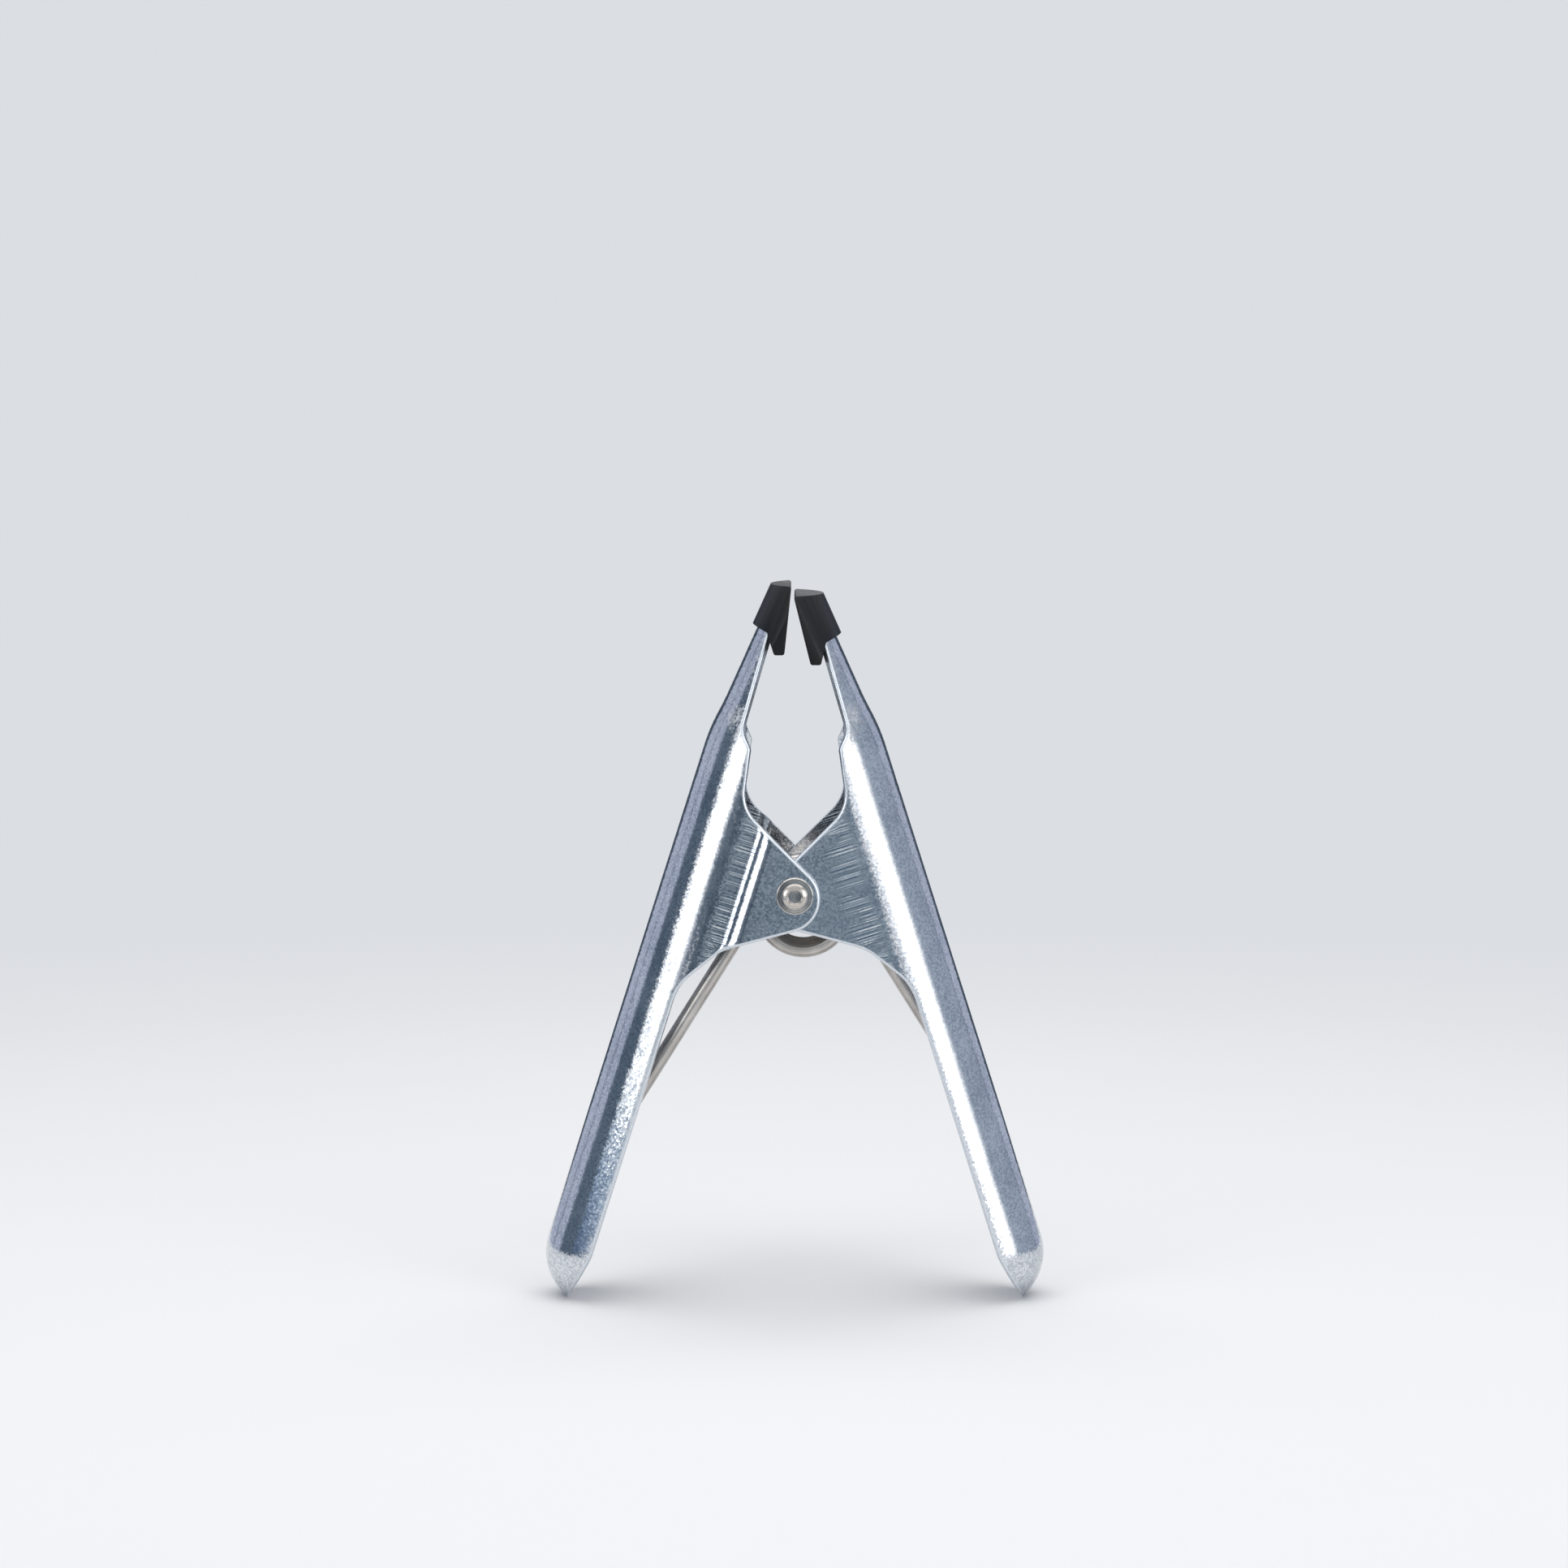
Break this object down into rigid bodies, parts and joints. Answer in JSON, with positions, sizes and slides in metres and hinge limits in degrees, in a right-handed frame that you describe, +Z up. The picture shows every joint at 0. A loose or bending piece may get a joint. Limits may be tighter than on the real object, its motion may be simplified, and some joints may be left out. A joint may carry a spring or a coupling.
{
  "type": "spring clamp",
  "caption": "Hand spring clamp for ski and snowboard edge tuning: pressed levers on a rivet, a torsion spring and capped jaws that grip a file or guide.",
  "frame": {"origin": "on the floor plane under the pivot, where the handle noses would stand", "axes": "+Z up along the centre line from the noses to the jaws, pivot axis along Y with the rolled rivet end towards -Y, +X towards the inner lever"},
  "size_m": [0.0738, 0.0218, 0.1059],
  "materials": {
    "zinc_plate": "blue-passivated zinc plate, satin",
    "rivet_steel": "plain bright steel",
    "spring_wire": "drawn wire, satin",
    "cap_vinyl": "moulded black vinyl, satin"
  },
  "bodies": {
    "outer_lever": {"outer_lever": "zinc_plate", "outer_jaw_cap": "cap_vinyl", "pivot_rivet": "rivet_steel", "torsion_spring": "spring_wire"},
    "inner_lever": {"inner_lever": "zinc_plate", "inner_jaw_cap": "cap_vinyl"}
  },
  "joints": [
    {"name": "squeeze", "type": "hinge", "parent": "outer_lever", "child": "inner_lever", "pos_m": [0, 0, 0.06108], "axis": [0, 1, 0], "range_deg": [0, 50], "stiffness_Nm_per_rad": 2.2, "springref_deg": -8.59, "deforming": ["torsion_spring"]}
  ]
}
